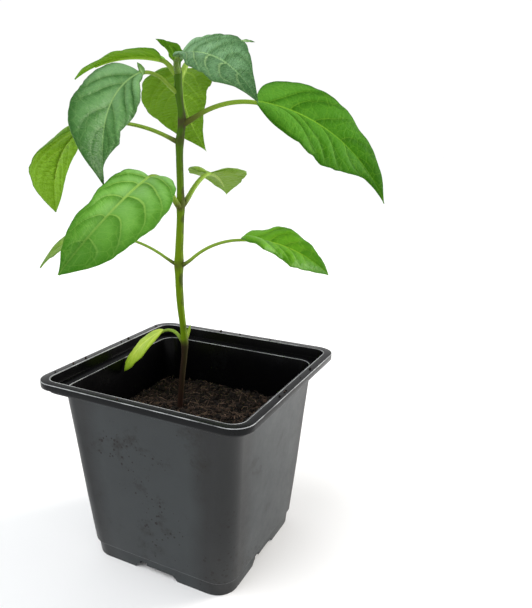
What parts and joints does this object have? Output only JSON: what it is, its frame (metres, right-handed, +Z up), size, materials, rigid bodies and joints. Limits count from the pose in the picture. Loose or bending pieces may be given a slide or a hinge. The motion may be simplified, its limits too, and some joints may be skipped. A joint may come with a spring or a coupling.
{
  "type": "potted chilli pepper plant",
  "caption": "Young chilli pepper plant with broad pointed leaves on one upright stem, growing in dark potting soil in a square black plastic nursery pot.",
  "frame": {"origin": "middle of the plant's box, on the surface that the pot stands on", "axes": "+Z up along the stem; the pot's sides lie along X and Y"},
  "size_m": [0.1314, 0.142, 0.2002],
  "materials": {
    "pot_plastic": "fine grained, slightly dusty",
    "peat": "rough and fibrous",
    "green_stem": "satin",
    "leaf_deep": "semi gloss, quilted between the veins",
    "leaf_bright": "semi gloss, quilted between the veins",
    "leaf_underside": "matt, with raised veins",
    "cotyledon": "satin"
  },
  "bodies": {
    "root": {"pot": "pot_plastic", "soil": "peat", "stem": "green_stem", "cotyledon_left": "cotyledon", "cotyledon_back": "cotyledon", "leaf_lower_left": "leaf_bright", "leaf_lower_right": "leaf_bright", "leaf_left": "leaf_bright", "leaf_small_right": "leaf_underside", "leaf_outer_left": "leaf_underside", "leaf_right": "leaf_deep", "leaf_upper_left": "leaf_deep", "leaf_back": "leaf_underside", "leaf_top_left": "leaf_bright", "leaf_top_right": "leaf_deep", "shoot_tip": "leaf_bright"}
  },
  "joints": []
}
